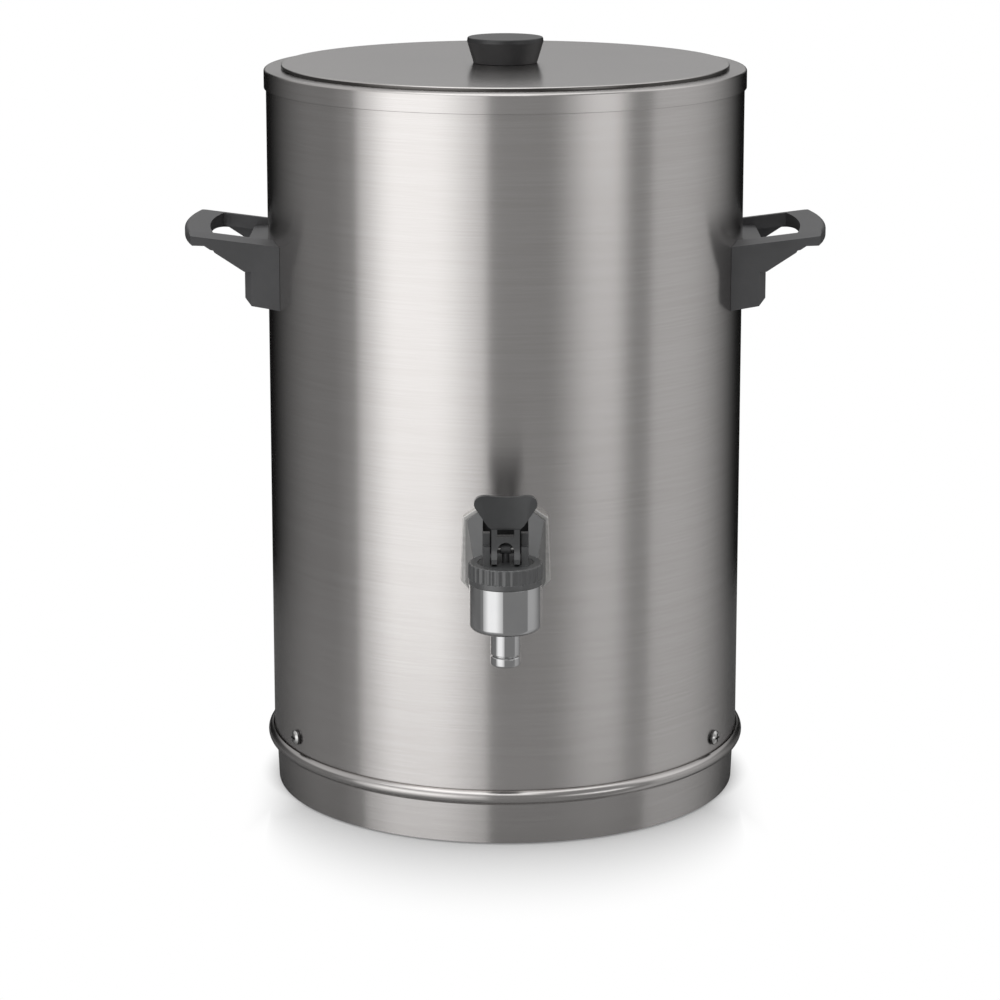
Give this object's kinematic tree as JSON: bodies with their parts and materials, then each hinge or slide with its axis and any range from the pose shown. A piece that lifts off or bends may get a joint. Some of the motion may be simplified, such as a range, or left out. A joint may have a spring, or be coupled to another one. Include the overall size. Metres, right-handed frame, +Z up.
{
  "type": "hot water urn",
  "caption": "Round double-walled steel hot water urn with lift-off lid and knob, side handles, spring-return lever tap with spout, and a beaded base ring.",
  "frame": {"origin": "centre of the footprint, on the surface the feet stand on, on the vessel's axis", "axes": "+Z up along the vessel's axis, the tap towards -Y, handles along +X and -X"},
  "size_m": [0.404, 0.3881, 0.4796],
  "materials": {
    "steel": "brushed stainless steel, satin",
    "inner_steel": "stainless steel, 2B mill finish",
    "plain_steel": "zinc-plated steel",
    "fastener_steel": "stainless fastener, machined",
    "knob_plastic": "black moulded phenolic, fine texture",
    "handle_plastic": "dark-grey moulded plastic, fine spark texture",
    "tap_plastic": "dark-grey moulded plastic, satin",
    "chrome": "polished chrome plate",
    "rubber": "black rubber",
    "silicone": "natural silicone",
    "spring_steel": "stainless spring wire",
    "brass": "turned brass",
    "insulation": "mineral fibre felt",
    "aluminium": "mill finish",
    "element_sheath": "annealed steel sheath",
    "switch_plastic": "black heat-resistant plastic",
    "block_plastic": "ivory heat-resistant plastic",
    "wire_insulation": "heat-resistant silicone lead",
    "gland_plastic": "black nylon"
  },
  "bodies": {
    "urn": {"vessel": "inner_steel", "jacket": "steel", "insulation_sleeve": "insulation", "base_ring": "steel", "base_pan": "plain_steel", "base_screws": "fastener_steel", "base_screw_nuts": "plain_steel", "rubber_feet": "rubber", "foot_retainers": "fastener_steel", "handle_left": "handle_plastic", "handle_right": "handle_plastic", "handle_plates": "plain_steel", "handle_screws": "fastener_steel", "tap_wall_plate": "steel", "tap_neck_cover": "tap_plastic", "tap_outer_seal": "silicone", "tap_spacer": "plain_steel", "tap_inner_seal": "silicone", "tap_lock_nut": "fastener_steel", "tap_body": "chrome", "tap_spout": "chrome", "tap_ring_nut": "tap_plastic", "tap_cap": "tap_plastic", "stem_seal": "silicone", "heating_element": "element_sheath", "element_plate": "aluminium", "element_clamp": "plain_steel", "element_studs": "fastener_steel", "element_nuts": "plain_steel", "thermostat": "switch_plastic", "thermal_cutout": "switch_plastic", "terminal_block": "block_plastic", "terminal_screws": "brass", "earth_stud": "brass", "internal_leads": "wire_insulation", "cord_gland": "gland_plastic", "gland_cap": "gland_plastic", "gland_seal": "rubber", "gland_nut": "gland_plastic"},
    "lid": {"lid_panel": "steel", "lid_pan": "inner_steel", "lid_insulation": "insulation", "lid_knob": "knob_plastic", "knob_insert": "brass", "knob_screw": "fastener_steel", "knob_washer": "fastener_steel"},
    "stem": {"tap_stem": "tap_plastic", "lever_pin": "fastener_steel", "seat_cup": "silicone", "tap_spring": "spring_steel"},
    "lever": {"tap_lever": "tap_plastic"}
  },
  "joints": [
    {"name": "lid_lift", "type": "slide", "parent": "urn", "child": "lid", "axis": [0, 0, 1], "range_m": [0, 0.15]},
    {"name": "stem_lift", "type": "slide", "parent": "urn", "child": "stem", "axis": [0, 0, 1], "range_m": [0, 0.0037], "deforming": ["tap_spring"]},
    {"name": "lever_tilt", "type": "hinge", "parent": "stem", "child": "lever", "pos_m": [0, -0.195, 0.1995], "axis": [1, 0, 0], "range_deg": [0, 30], "stiffness_Nm_per_rad": 0.059, "springref_deg": -32.72}
  ],
  "couplings": [
    {"joint": "stem_lift", "follows": "lever_tilt", "m_per_rad": 0.007}
  ]
}
